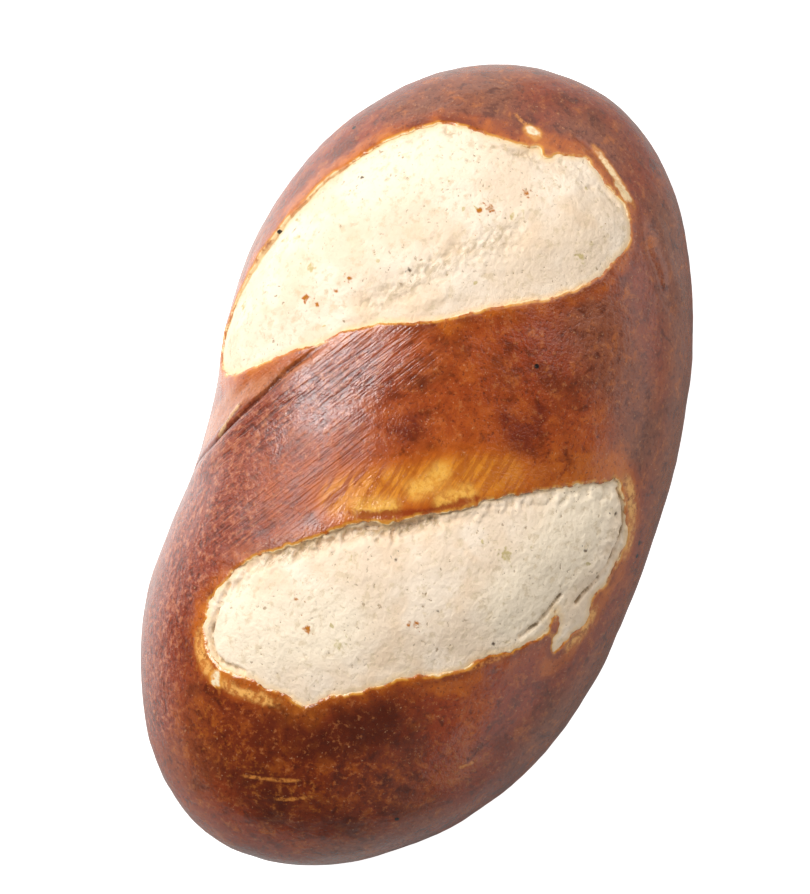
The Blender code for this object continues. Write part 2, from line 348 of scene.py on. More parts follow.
# masks that the crust's material reads: lines over the skin, and how far the colour spreads from them
crustPaint = {
    "warm": ([
        [(18.0, 10.0), (18.5, 0.0)],
        [(-10.0, 24.0), (0.0, 15.0), (8.0, 0.0), (10.0, -14.0), (11.0, -30.0)],
    ], 7.0),
    "amber": ([
        [(-8.0, 14.5), (-6.3, 11.5), (-3.8, 5.6), (-1.7, 0.3), (0.6, -4.5), (2.4, -10.0), (3.8, -16.0)],
    ], 3.5),
    "gold": ([
        [(-3.0, 0.8), (-1.5, -1.4), (1.2, -3.2)],
        [(-8.2, 9.5), (-6.6, 3.6)],
        [(-3.2, -5.2), (-0.6, -9.6)],
    ], 1.7),
    "honey": ([[(3.6, -15.5), (6.3, -23.0), (9.0, -31.0), (11.5, -38.5)]], 2.8),
    "halo": ([
        [(10.8, -39.0), (8.6, -42.8), (5.0, -46.2), (1.0, -48.6), (-4.0, -48.2)],
        [(-9.5, -46.0), (-14.5, -45.4), (-19.5, -41.5)],
        [
            (-31.5, 36.0), (-34.5, 35.2), (-37.6, 33.2), (-39.8, 28.8), (-40.4, 22.0), (-40.2, 15.0),
            (-39.8, 9.0),
        ],
    ], 0.85),
    "umber": ([
        [(46.0, -40.0), (32.0, -50.0), (12.0, -60.0), (-12.0, -62.0), (-32.0, -52.0)],
        [(30.0, -24.0), (24.0, -32.0), (16.0, -42.0)],
        [(55.0, -14.0), (57.0, 8.0), (52.0, 36.0)],
    ], 7.0),
    "deep": ([
        [(-44.0, 22.0), (-48.0, 8.0), (-47.0, -12.0)],
        [(-58.0, 20.0), (-60.0, 0.0), (-57.0, -20.0)],
    ], 8.0),
    "burnt": ([
        [(-44.5, 11.0), (-42.5, 2.0), (-38.5, -9.0), (-36.0, -14.0)],
        [(-54.0, 14.0), (-56.0, 4.0), (-55.0, -8.0)],
    ], 5.0),
    # the darker maroon base of the left side, where painted glints lie: light and dark specks standing in for
    # broken reflections
    "darkSideAndGlints": ([
        [(-47.0, 48.0), (-36.0, 48.0), (-24.0, 43.0), (-14.0, 37.0), (-6.0, 32.0), (1.0, 26.0), (8.0, 22.0)],
        [(-22.0, 50.0), (-12.0, 46.0), (-4.0, 38.0)],
    ], 7.0),
    "maroon": ([
        [(11.7, -11.9), (10.1, -14.2), (8.6, -16.2), (11.9, -17.0), (14.2, -17.7)],
        [(4.5, 7.3), (6.4, 5.2)],
    ], 2.0),
    "glow": ([
        [(-31.0, 36.0), (-37.5, 32.0), (-40.5, 24.0), (-41.0, 14.0), (-41.0, 5.0)],
        [
            (11.5, -37.0), (8.5, -43.5), (1.5, -49.0), (-9.0, -47.5), (-21.0, -41.5), (-27.0, -29.0),
            (-30.0, -20.0),
        ],
        [(30.0, 51.5), (39.0, 45.0), (46.0, 37.5)],
        [(52.0, -14.0), (53.5, -5.0), (53.0, 3.0)],
        [(3.6, 54.0), (5.0, 46.0), (8.0, 39.5), (10.7, 34.5)],
    ], 2.4),
    "flap": ([[(-5.5, 58.0), (-2.0, 50.5), (2.0, 45.0), (5.5, 39.5), (9.0, 34.8), (12.0, 30.5)]], 2.4),
    # where the stretched skin wrinkles in the shoulder's sheen; the material paints highlight streaks on the
    # wrinkles' ridges and shade in their troughs
    "stretch": ([
        [(-6.0, 43.0), (3.0, 33.0), (11.0, 22.0), (16.0, 12.0)],
        [(-17.0, 33.0), (-9.0, 24.0), (0.0, 18.0)],
    ], 6.0),
    "matte": ([
        [(-20.0, 30.0), (-12.0, 23.0), (-6.5, 18.0), (-1.0, 15.0)],
        [(-9.0, 30.0), (-4.0, 25.0)],
    ], 5.0),
    "pulled": ([[(58.0, 34.0), (61.0, 16.0), (61.5, 0.0), (58.0, -16.0), (53.0, -28.0)]], 5.0),
    "glints": ([
        [(-47.0, 28.0), (-51.0, 20.0), (-53.0, 8.0), (-52.0, -4.0)],
        [(-36.0, 36.0), (-41.0, 27.0)],
        [(-42.0, -29.0), (-38.0, -35.0)],
    ], 3.4),
    "crackle": ([
        [(-52.9, 20.2), (-51.8, 12.9), (-50.8, 6.7), (-49.2, 0.3)],
        [(-54.3, 9.0), (-53.2, 3.0), (-51.0, -3.5)],
        [(-40.6, -31.4), (-39.3, -34.0), (-37.6, -34.6)],
        [(-28.2, -18.0), (-25.2, -23.8), (-23.1, -27.2), (-21.7, -29.9), (-20.2, -33.0)],
        [(58.7, 3.8), (57.8, 0.3), (56.9, -2.7), (55.8, -6.1), (55.0, -8.2)],
        [(55.6, 11.0), (54.8, 8.0), (54.2, 5.2)],
    ], 0.38),
    "tear": ([
        [
            (55.4, -12.0), (54.6, -14.5), (53.4, -17.3), (51.9, -20.7), (50.4, -23.9), (48.9, -26.4),
            (47.6, -28.3),
        ],
        [(51.5, -20.4), (49.9, -23.6), (48.4, -26.1)],
    ], 0.5),
    "nick": ([[(53.9, 4.9), (53.5, 2.6)], [(-38.6, 29.2), (-40.2, 28.2), (-41.6, 28.8)]], 0.85),
    "cream": ([[(-6.8, 50.2), (-5.7, 48.3), (-3.8, 46.7), (-0.5, 44.0), (1.6, 42.0)]], 0.4),
    # painted shade along the crease
    "creaseShade": ([crease], 0.42),
    "lipCrack": ([
        [
            (-10.2, 15.0), (-9.3, 11.0), (-8.0, 5.8), (-5.7, -1.1), (-4.0, -5.0), (-2.0, -8.9), (-0.3, -11.7),
            (1.3, -14.2),
        ],
    ], 0.55),
    "speck": ([[place] * 2 for place in (
        (45.6, 50.3), (26.6, 50.8), (20.4, -14.0), (0.9, -52.8), (-1.1, -53.8), (-51.0, -25.3), (-33.9, 58.1),
    )], 0.42),
}
fineMasks = ("crackle", "tear", "nick", "cream", "creaseShade", "lipCrack", "speck")


def refineCrust(crust):  # smaller faces along the rims and under the fine marks
    for outside, inside, spread in crustSettings["refine"]:
        centres = faceCentres(crust)
        wanted = np.zeros(len(centres), bool)
        for rim in (upperRim, lowerRim):
            gap = rimGap(rim, centres)
            wanted |= (gap > -outside) & (gap < inside)
        top = centres[:, 2] > loafSizes["topFrom"]
        for name in fineMasks:
            for places in crustPaint[name][0]:
                wanted[top] |= stroke(centres[top], places, spread) > crustSettings["refineFrom"]
        halve(crust, wanted)


def storeCrustMasks(crust, rest, top, edge):  # rest is where its points were on the plain dough
    settings = crustSettings
    fine = settings["fineMarks"]
    size, swing = fine["breaks"]
    masks = {name: np.zeros(len(rest)) for name in crustPaint}
    for name, (lines, width) in crustPaint.items():
        taper = fine["taper"] if width < fine["width"] and name != "speck" else 0.0
        masks[name][top] = np.max([stroke(rest[top], places, width, taper) for places in lines], axis=0)
        if taper:
            masks[name][top] *= 1 + swing * noiseAt(rest[top], size, 2)
        store(crust, name, masks[name])
    size, reach, seed = settings["bandWander"]
    wander = noiseAt(rest[top], size, 2, seed) * reach
    band = np.full(len(rest), farOutside)
    band[top] = edge[top] + wander + settings["glowWidens"] * masks["glow"][top]
    store(crust, "rimGap", edge.clip(*settings["gapRange"]))
    store(crust, "rimBand", band.clip(*settings["bandRange"]))
    size, swing, low, high = settings["underside"]
    store(crust, "under", smoothStep(-rest[:, 2] + noiseAt(rest, size, 2) * swing, -high, -low))


def makeCrust():
    settings = crustSettings
    crust = duplicate(loaf, "rollCrust")
    refineCrust(crust)
    points, normals = readPoints(crust), readNormals(crust)
    rest = points.copy()
    height = sum(noiseAt(points, size, detail) * amount for size, amount, detail in settings["lumps"])
    height *= smoothStep(points[:, 2], *settings["lumpsFrom"])
    top = points[:, 2] > loafSizes["topFrom"]
    for places, width, amount in settings["folds"]:
        height[top] += amount * stroke(rest[top], places, width, settings["foldTaper"])
    edge = np.full(len(points), farOutside)
    reach, power = settings["pinch"]
    leanReach, leanPast = settings["overhang"]
    drop, dropWidth = settings["edgeDrop"]
    for name, rim in (("upper", upperRim), ("lower", lowerRim)):
        swell, over, moreOver = settings["lips"][name]
        gap, inward, uphill = rim.measure(rest[top])
        pinched = np.where(np.abs(gap) < reach, np.sign(gap) * reach * (np.abs(gap) / reach) ** power, gap)
        lean = (over + moreOver * uphill) * np.exp(-((pinched / leanReach) ** 2)) * (pinched < leanPast)
        points[top] += inward * (pinched - gap + lean)[:, None]
        wall = smoothStep(pinched, 0.0, settings["wall"])
        lip = swell * np.exp(-((pinched / settings["lipReach"]) ** 2))
        lip -= drop * np.exp(-((pinched / dropWidth) ** 2))
        height[top] = (height[top] + lip) * (1 - wall) - settings["trough"] * wall
        edge[top] = np.maximum(edge[top], pinched)
    writePoints(crust, points + normals * height[:, None])
    storeCrustMasks(crust, rest, top, edge)
    return crust


crumbSettings = {
    "skirt": 1.3,  # how far the crumb goes on under the crust
    "thickness": 1.2,
    "halvings": 2,  # rounds of smaller faces on its outer side
    "outerWithin": 0.25,  # how near the plain dough's skin a face of that side lies
    "crown": {"upper": 0.9, "lower": 0.75},
    "crownFrom": 9.0,  # how far in from the rim it is reached
    "edgeSink": (0.15, 1.0),  # depth along the rim, and how far in it goes
    "tuck": (1.2, 0.7),  # how deep it dips under the crust, and within what distance
    "hollow": {"upper": 0.25, "lower": 1.25},  # how deep it has torn from the lip above it
    "hollowPlace": (1.7, 1.2),  # middle and half width of that, in from the lip
    "hollowFade": (0.35, -14.0, 6.0),  # the share of it at the far end, and from which Y to which it grows
    "hollowTorn": 0.8,  # how rough it is there, and how much painted shade it gets
    "strands": (2.0, 9.0, -0.35, 0.3),  # size and seed of the noise, and its values where it held and tore
    "lumps": [(11.0, 0.35, 0), (3.6, 0.15, 0), (1.5, 0.06, 2)],  # size, height, detail
    "lumpSeed": 3.0,
    "ridges": {  # of torn crumb
        "grains": ((3.6, 7.0), (1.4, 2.0)),  # size and seed of the coarse and of the fine
        "level": 0.35,
        "fineShare": 0.4,
        "height": 0.8,
    },
    "gapWaver": (0.85, 0.5, 1.6, 4.0),  # how a gap's depth comes and goes: mean, swing, size, seed
    "crackShadeWaver": (0.75, 0.9, 1.3, 8.0),  # the same for the painted shade in a crack
    "crackWidth": 0.5,  # a gap narrower than this is a crack, and is painted with shade
    "gaps": {  # line, width, depth, roughness of what is torn there, which also sets its painted shade
        "upper": [
            (
                [(37.0, 1.0), (33.0, 8.1), (30.4, 10.9), (28.1, 13.4), (24.1, 17.7), (20.8, 22.4)],
                2.6, 0.55, 0.6,
            ),
            ([(26.0, 8.0), (22.5, 14.0), (20.0, 20.0), (17.5, 27.0)], 1.6, -0.3, 0.2),
            ([(51.0, 2.0), (49.5, -2.0), (49.5, -8.0), (49.5, -14.0)], 1.8, 0.3, 0.3),
            ([(47.5, -22.0), (49.0, -17.5), (48.0, -12.0)], 0.5, 0.3, 0.2),
        ],
        "lower": [
            ([(-20.8, 24.8), (-19.0, 21.6), (-17.2, 18.6), (-15.2, 15.2)], 1.0, 1.1, 0.9),
            (
                [(-13.6, 12.4), (-12.2, 9.8), (-11.0, 6.4), (-9.6, 2.6), (-8.2, -1.2), (-6.4, -5.4)],
                1.15, 0.9, 0.9,
            ),
            ([(-26.0, 31.0), (-30.8, 32.0), (-34.6, 31.8), (-37.0, 28.6), (-37.4, 22.0)], 0.38, 0.9, 0.1),
            ([(7.4, -40.2), (5.9, -42.4), (3.3, -44.2), (1.0, -44.8), (-1.6, -44.4)], 0.36, 0.6, 0.05),
            ([(-1.6, -44.4), (-3.8, -44.0), (-6.5, -42.6), (-8.8, -41.0), (-11.0, -39.6)], 0.42, 0.8, 0.05),
            ([(-10.5, -35.4), (-14.5, -33.6), (-16.8, -31.9), (-18.7, -30.1)], 0.4, 0.8, 0.2),
            ([(3.0, -43.0), (-5.0, -42.0)], 4.0, -0.5, 0.0),
        ],
    },
    "flourAndPaintedLight": {  # where the crumb is painted paler: flour on it, and painted light where the lamps leave it too dim; and how far round
        "upper": ([[(46.0, 20.0), (38.0, 34.0)]], 5.0),
        "lower": ([
            [(-32.0, 24.0), (-29.0, 15.0), (-26.0, 8.0)],
            [(-14.0, -27.0), (-6.0, -31.0), (5.0, -34.0)],
        ], 6.0),
    },
    "fleckEdge": (0.42, 1.1, 0.35),  # size and swing of the waves in a fleck's edge, and its softness
    "flecks": {  # what stuck to the wet dough: places and size
        "toast": [
            (39.0, 8.4, 0.6), (39.9, 6.4, 0.75), (44.0, 0.1, 0.6), (23.2, 28.0, 0.5), (18.3, 35.3, 0.7),
            (17.9, 32.6, 0.5), (-28.0, 11.9, 0.7), (-24.4, 16.0, 0.4), (-22.1, -7.3, 0.5),
            (-21.5, -8.8, 0.5), (20.7, 29.6, 0.4),
        ],
        "char": [
            (38.2, 36.4, 0.45), (27.2, 17.2, 0.4), (-13.7, -0.4, 0.4), (-3.0, -36.5, 0.4), (3.8, -41.4, 0.45),
            (-20.7, -25.6, 0.4), (-26.1, 0.1, 0.3), (-18.7, -11.8, 0.3),
        ],
        "bran": [
            (40.0, 1.4, 0.6), (22.8, 36.8, 0.7), (26.5, 43.5, 0.6), (14.0, 51.7, 0.8), (25.6, 48.4, 0.6),
            (-28.5, 4.6, 0.7), (-7.6, -20.7, 0.9), (38.0, -16.0, 0.7), (-16.1, 8.3, 0.5), (40.3, -17.6, 0.5),
        ],
    },
}


def cutCrumb(name, rim):  # a shell of the plain dough, a little larger than the slash
    settings = crumbSettings
    crumb = duplicate(loaf, name)
    selectFaces(crumb, rimGap(rim, faceCentres(crumb)) < -settings["skirt"])
    bpy.ops.mesh.delete(type="FACE")
    bpy.ops.object.mode_set(mode="OBJECT")
    applyModifier(crumb, "SOLIDIFY", thickness=settings["thickness"] * mm, offset=-1)
    for _ in range(settings["halvings"]):
        depth = np.array([skinTree.find_nearest(Vector(p))[3] for p in faceCentres(crumb)])
        halve(crumb, depth < settings["outerWithin"])
    return crumb


def waver(points, mean, swing, size, seed):
    return mean + swing * noiseAt(points, size, 2, seed)


def storeFlecks(crumb, points):
    size, swing, softness = crumbSettings["fleckEdge"]
    wobble = 1 + swing * noiseAt(points, size)
    for kind, places in crumbSettings["flecks"].items():
        mask = np.zeros(len(points))
        for x, degrees, size in places:
            away = np.linalg.norm(points - onSkin([(x, degrees)])[0][0], axis=1) * wobble
            mask = np.maximum(mask, smoothStep(size - away, 0, softness))
        store(crumb, kind, mask)


def makeCrumb(name, rim, which):
    settings = crumbSettings
    crumb = cutCrumb(name, rim)
    points = readPoints(crumb)
    found = [skinTree.find_nearest(Vector(p)) for p in points]
    normals = np.array([f[1] for f in found])
    outer = np.array([f[3] for f in found]) < settings["thickness"] / 2
    gap, inward, uphill = rim.measure(points)
    inside = gap.clip(0)
    sink, sinkReach = settings["edgeSink"]
    tuck, tuckWithin = settings["tuck"]
    height = settings["crown"][which] * smoothStep(inside, 0, settings["crownFrom"])
    height -= sink * np.exp(-inside / sinkReach) + tuck * smoothStep(-gap, 0, tuckWithin)
    middle, width = settings["hollowPlace"]
    size, seed, held, tore = settings["strands"]
    least, start, end = settings["hollowFade"]
    hollow = uphill * smoothStep(noiseAt(points, size, 2, seed), held, tore)
    hollow *= np.exp(-(((gap - middle) / width) ** 2))
    hollow *= least + (1 - least) * smoothStep(points[:, 1], start, end)
    height -= settings["hollow"][which] * hollow
    # the torn share, which also paints shade into the hollow under the lip
    tornAndShaded = hollow * settings["hollowTorn"]
    crackShade = np.zeros(len(points))
    for places, width, depth, rough in settings["gaps"][which]:
        spread = stroke(points, places, width)
        height -= depth * spread * waver(points, *settings["gapWaver"])
        # narrow gaps get painted shade
        if width < settings["crackWidth"]:
            crackShade = np.maximum(crackShade, spread * waver(points, *settings["crackShadeWaver"]))
        tornAndShaded = np.maximum(tornAndShaded, rough * spread)
    for size, amount, detail in settings["lumps"]:
        height += noiseAt(points, size, detail, settings["lumpSeed"]) * amount
    ridges = settings["ridges"]
    coarse, fine = [np.abs(noiseAt(points, size, 2, seed)) for size, seed in ridges["grains"]]
    relief = ridges["level"] - coarse - ridges["fineShare"] * fine
    height += np.where(outer, tornAndShaded * ridges["height"] * relief, 0)
    storeFlecks(crumb, points)
    writePoints(crumb, points + normals * height[:, None])
    store(crumb, "rimGap", gap)
    store(crumb, "tornAndShaded", tornAndShaded)
    store(crumb, "crackShade", crackShade)
    lines, width = settings["flourAndPaintedLight"][which]
    store(crumb, "flourAndPaintedLight", np.max([stroke(points, places, width) for places in lines], axis=0))
    return crumb


crust = makeCrust()
print("crust sculpted:", sum(len(face.vertices) - 2 for face in crust.data.polygons), "triangles")
crumbs = [makeCrumb("upperCrumb", upperRim, "upper"), makeCrumb("lowerCrumb", lowerRim, "lower")]
for crumb in crumbs:
    print(crumb.name, "torn:", sum(len(face.vertices) - 2 for face in crumb.data.polygons), "triangles")
bpy.data.objects.remove(loaf)


def addNode(tree, kind, sockets, **settings):
    node = tree.nodes.new(kind)
    for name, value in settings.items():
        setattr(node, name, value)
    for name, value in sockets.items():
        if isinstance(value, bpy.types.NodeSocket):
            tree.links.new(value, node.inputs[name])
        else:
            node.inputs[name].default_value = value
    return node


def newMaterial(name):
    material = bpy.data.materials.new(name)
    material.use_nodes = True
    return material, material.node_tree, material.node_tree.nodes["Principled BSDF"]


# what coats and relief are laid out by: the piece's masks, and grains sized in mm
def readSources(tree, piece, textures):
    sources = {
        layer.name: addNode(tree, "ShaderNodeAttribute", {}, attribute_name=layer.name).outputs["Fac"]
        for layer in piece.data.attributes if layer.domain == "POINT" and layer.data_type == "FLOAT"
    }
    where = addNode(tree, "ShaderNodeTexCoord", {}).outputs["Object"]
    for name, (size, detail, rough, warp, stretch, turn) in textures.items():
        turned = addNode(tree, "ShaderNodeMapping", {"Vector": where, "Rotation": (0, 0, math.radians(turn))})
        scale = (1 / (size * stretch * mm), 1 / (size * mm), 1 / (size * stretch * mm))
        scaled = addNode(tree, "ShaderNodeMapping", {"Vector": turned.outputs[0], "Scale": scale})
        sockets = {"Vector": scaled.outputs[0], "Scale": 1.0, "Detail": detail}
        sockets |= {"Roughness": rough, "Distortion": warp}
        sources[name] = addNode(tree, "ShaderNodeTexNoise", sockets).outputs["Fac"]
    return sources


# each coat covers the ones before it by its limits, multiplied; a Mix node's sockets 6 and 7 are its colours
def layCoats(tree, sources, first, coats):
    colour = colourOf(first)
    for coat, *limits in coats:
        share = 1.0
        for name, low, high, least, most in limits:
            sockets = {"Value": sources[name], "From Min": low, "From Max": high}
            sockets |= {"To Min": least, "To Max": most}
            limit = addNode(tree, "ShaderNodeMapRange", sockets, interpolation_type="SMOOTHSTEP").outputs[0]
            share = addNode(tree, "ShaderNodeMath", {0: share, 1: limit}, operation="MULTIPLY").outputs[0]
        mixed = addNode(tree, "ShaderNodeMix", {0: share, 6: colour, 7: colourOf(coat)}, data_type="RGBA")
        colour = mixed.outputs[2]
    return colour


def raiseGrain(tree, sources, shader, relief, depth):  # sums the grains, each times its weight and its mask
    total = 0.0
    for grain, mask, weight in relief:
        if mask:
            sockets = {0: sources[mask], 1: weight}
            weight = addNode(tree, "ShaderNodeMath", sockets, operation="MULTIPLY").outputs[0]
        sockets = {0: sources[grain], 1: weight, 2: total}
        total = addNode(tree, "ShaderNodeMath", sockets, operation="MULTIPLY_ADD").outputs[0]
    bump = addNode(tree, "ShaderNodeBump", {"Strength": 1.0, "Distance": depth * mm, "Height": total})
    tree.links.new(bump.outputs["Normal"], shader.inputs["Normal"])


crustLook = {
    "textures": {  # size in mm, detail, roughness, warp, stretch, degrees it is turned
        "drift": (28.0, 2.0, 0.5, 0.0, 1, 0),
        "mottle": (8.0, 4.0, 0.6, 0.3, 1, 0),
        "blotch": (2.6, 3.0, 0.65, 0.4, 1, 0),
        "fine": (0.95, 3.0, 0.65, 0.0, 1, 0),
        "pits": (0.5, 2.0, 0.6, 0.0, 1, 0),
        "streaks": (0.9, 3.0, 0.6, 0.3, 7, 12),
        "wrinkles": (0.5, 2.0, 0.55, 0.3, 10, 32),
        "hairs": (0.6, 2.0, 0.5, 0.2, 12, 118),
    },
    "base": "943912",
    "coats": [  # colour, then where it lies: a mask or grain, from, to, least, most
        ("6e2a08", ("mottle", 0.52, 0.34, 0.0, 0.8)),
        ("ad5018", ("mottle", 0.53, 0.68, 0.0, 0.7)),
        ("92532c", ("drift", 0.5, 0.68, 0.0, 0.5)),
        ("8a5034", ("umber", 0.0, 1.0, 0.0, 0.75)),
        ("5c2105", ("blotch", 0.46, 0.31, 0.0, 0.75)),
        ("bd682a", ("blotch", 0.54, 0.7, 0.0, 0.62)),
        ("551c05", ("fine", 0.47, 0.33, 0.0, 0.45)),
        ("8a351a", ("darkSideAndGlints", 0.0, 0.7, 0.0, 0.85), ("blotch", 0.7, 0.4, 0.55, 1.0)),
        # painted glints on the left side: pink specks of reflected light, and dark specks between them
        ("b5684a", ("darkSideAndGlints", 0.1, 0.8, 0.0, 1.0), ("fine", 0.5, 0.64, 0.0, 0.85)),
        ("481a08", ("darkSideAndGlints", 0.1, 0.8, 0.0, 1.0), ("fine", 0.48, 0.36, 0.0, 0.6)),
        # painted shade in the wrinkles' troughs, then painted highlight streaks on their ridges
        ("5c2210", ("stretch", 0.1, 0.7, 0.0, 1.0), ("wrinkles", 0.5, 0.36, 0.0, 0.75)),
        ("b86e46", ("stretch", 0.1, 0.7, 0.0, 1.0), ("wrinkles", 0.54, 0.68, 0.0, 0.45)),
        ("6a2404", ("deep", 0.0, 1.0, 0.0, 0.85), ("blotch", 0.7, 0.4, 0.55, 1.0)),
        ("b5520e", ("warm", 0.0, 1.0, 0.0, 1.0), ("blotch", 0.32, 0.7, 0.15, 0.75)),
        ("a1470f", ("rimBand", -3.4, -1.2, 0.0, 0.85), ("blotch", 0.3, 0.55, 0.5, 1.0)),
        ("bd5f12", ("rimBand", -1.7, -0.5, 0.0, 0.85), ("streaks", 0.35, 0.55, 0.5, 1.0)),
        (
            "7a2d06",
            ("rimGap", -1.9, -0.8, 0.0, 1.0), ("rimGap", -0.2, -0.55, 0.0, 1.0),
            ("mottle", 0.45, 0.58, 0.0, 0.7),
        ),
        ("bd5b0d", ("amber", 0.03, 0.4, 0.0, 1.0), ("blotch", 0.22, 0.55, 0.45, 1.0)),
        ("df8b24", ("amber", 0.3, 0.85, 0.0, 1.0), ("blotch", 0.3, 0.6, 0.35, 1.0)),
        ("bd6412", ("honey", 0.0, 1.0, 0.0, 0.7), ("blotch", 0.3, 0.65, 0.1, 1.0)),
        (
            "a0470c",
            ("amber", 0.05, 0.5, 0.0, 1.0), ("streaks", 0.55, 0.4, 0.0, 0.9), ("stretch", 0.0, 0.3, 0.6, 1.0),
        ),
        ("f2b44e", ("gold", 0.1, 1.0, 0.0, 1.0), ("fine", 0.35, 0.6, 0.4, 1.0)),
        ("a84c0c", ("deep", 0.1, 0.8, 0.0, 1.0), ("fine", 0.5, 0.66, 0.0, 0.5)),
        ("9c4808", ("deep", 0.1, 0.8, 0.0, 1.0), ("blotch", 0.5, 0.66, 0.0, 0.8)),
        ("4a1603", ("deep", 0.1, 0.8, 0.0, 1.0), ("blotch", 0.46, 0.33, 0.0, 0.6)),
        ("4a1502", ("burnt", 0.0, 1.0, 0.0, 1.0), ("mottle", 0.7, 0.35, 0.3, 0.8)),
        ("6a210c", ("maroon", 0.0, 1.0, 0.0, 1.0), ("blotch", 0.75, 0.4, 0.3, 0.8)),
        ("b86c3c", ("flap", 0.05, 0.5, 0.0, 1.0), ("blotch", 0.3, 0.6, 0.6, 1.0)),
        ("b2540f", ("flap", 0.02, 0.25, 0.0, 1.0), ("rimGap", -3.0, -1.0, 0.0, 0.95)),
        ("e0b482", ("cream", 0.2, 0.9, 0.0, 0.8)),
        ("96380a", ("lipCrack", 0.1, 0.7, 0.0, 0.85)),
        # painted shade darkening the crease
        ("5a2412", ("creaseShade", 0.05, 0.8, 0.0, 0.75)),
        # light specks over the crust: partly its grain, partly painted glints
        ("bd7440", ("fine", 0.56, 0.7, 0.0, 0.42)),
        ("a05612", ("glints", 0.05, 0.8, 0.0, 1.0), ("fine", 0.5, 0.66, 0.0, 0.55)),
        # painted glints: tiny bright dots of light caught on blisters in the skin
        ("e0a878", ("pits", 0.64, 0.78, 0.0, 0.42)),
        ("4a1704", ("pits", 0.43, 0.29, 0.0, 0.55), ("amber", 0.05, 0.4, 1.0, 0.0)),
        ("d6863a", ("crackle", 0.15, 0.9, 0.0, 0.85), ("fine", 0.4, 0.55, 0.15, 1.0)),
        ("cb7020", ("rimBand", 0.2, 1.8, 0.0, 0.9), ("fine", 0.3, 0.6, 0.4, 1.0)),
        ("f2b25e", ("halo", 0.1, 0.9, 0.0, 0.95), ("fine", 0.38, 0.58, 0.25, 1.0)),
        ("e09b3a", ("rimGap", -0.65, -0.2, 0.0, 0.9), ("blotch", 0.42, 0.58, 0.08, 1.0)),
        ("f6dca9", ("rimGap", -0.22, -0.03, 0.0, 0.9), ("blotch", 0.45, 0.56, 0.1, 1.0)),
        ("cf7f2c", ("tear", 0.0, 0.3, 0.0, 0.9)),
        ("e09434", ("nick", 0.0, 0.45, 0.0, 0.95)),
        ("fad9a4", ("tear", 0.25, 0.7, 0.0, 1.0), ("fine", 0.36, 0.5, 0.65, 1.0)),
        ("f8e6c0", ("nick", 0.3, 0.9, 0.0, 1.0), ("fine", 0.36, 0.5, 0.6, 1.0)),
        ("ecd3a6", ("rimGap", 0.0, 0.1, 0.0, 1.0)),
        ("1c0f0a", ("speck", 0.35, 0.6, 0.0, 1.0)),
        ("8a5530", ("under", 0.0, 1.0, 0.0, 0.75)),
    ],
    "gloss": (0.16, 0.27),  # the roughness from its smooth patches to its dull ones
    "dullness": (0.3, 0.7),  # of the blotches, where the roughness is one and the other
    "dull": {"under": 0.35, "stretch": 0.25, "matte": 0.55},  # masks that add to it
    "shine": (0.5, 0.32),  # specular level, as a rule and where it is matte
    "ior": 1.64,
    "relief": [  # grain, the mask it is kept to, weight
        ("pits", None, 0.22), ("fine", None, 0.22), ("pits", "darkSideAndGlints", 0.12), ("fine", "darkSideAndGlints", 0.1),
        ("pits", "stretch", -0.1), ("fine", "stretch", -0.1),
        ("wrinkles", "stretch", 0.65), ("hairs", "pulled", 0.6),
    ],
    "depth": 0.3,
}


def paintCrust():
    material, tree, shader = newMaterial("lye_crust")  # thin skin, boiled and baked, satin to glossy
    look = crustLook
    sources = readSources(tree, crust, look["textures"])
    tree.links.new(layCoats(tree, sources, look["base"], look["coats"]), shader.inputs["Base Color"])
    dull = sources["blotch"]
    for name, weight in look["dull"].items():
        sockets = {0: sources[name], 1: weight, 2: dull}
        dull = addNode(tree, "ShaderNodeMath", sockets, operation="MULTIPLY_ADD").outputs[0]
    sockets = {"Value": dull, "From Min": look["dullness"][0], "From Max": look["dullness"][1]}
    sockets |= {"To Min": look["gloss"][0], "To Max": look["gloss"][1]}
    roughness = addNode(tree, "ShaderNodeMapRange", sockets, clamp=False).outputs["Result"]
    tree.links.new(roughness, shader.inputs["Roughness"])
    sockets = {"Value": sources["matte"], "From Min": 0.0, "From Max": 1.0}
    sockets |= {"To Min": look["shine"][0], "To Max": look["shine"][1]}
    shine = addNode(tree, "ShaderNodeMapRange", sockets).outputs["Result"]
    tree.links.new(shine, shader.inputs["Specular IOR Level"])
    shader.inputs["IOR"].default_value = look["ior"]
    raiseGrain(tree, sources, shader, look["relief"], look["depth"])
    return material


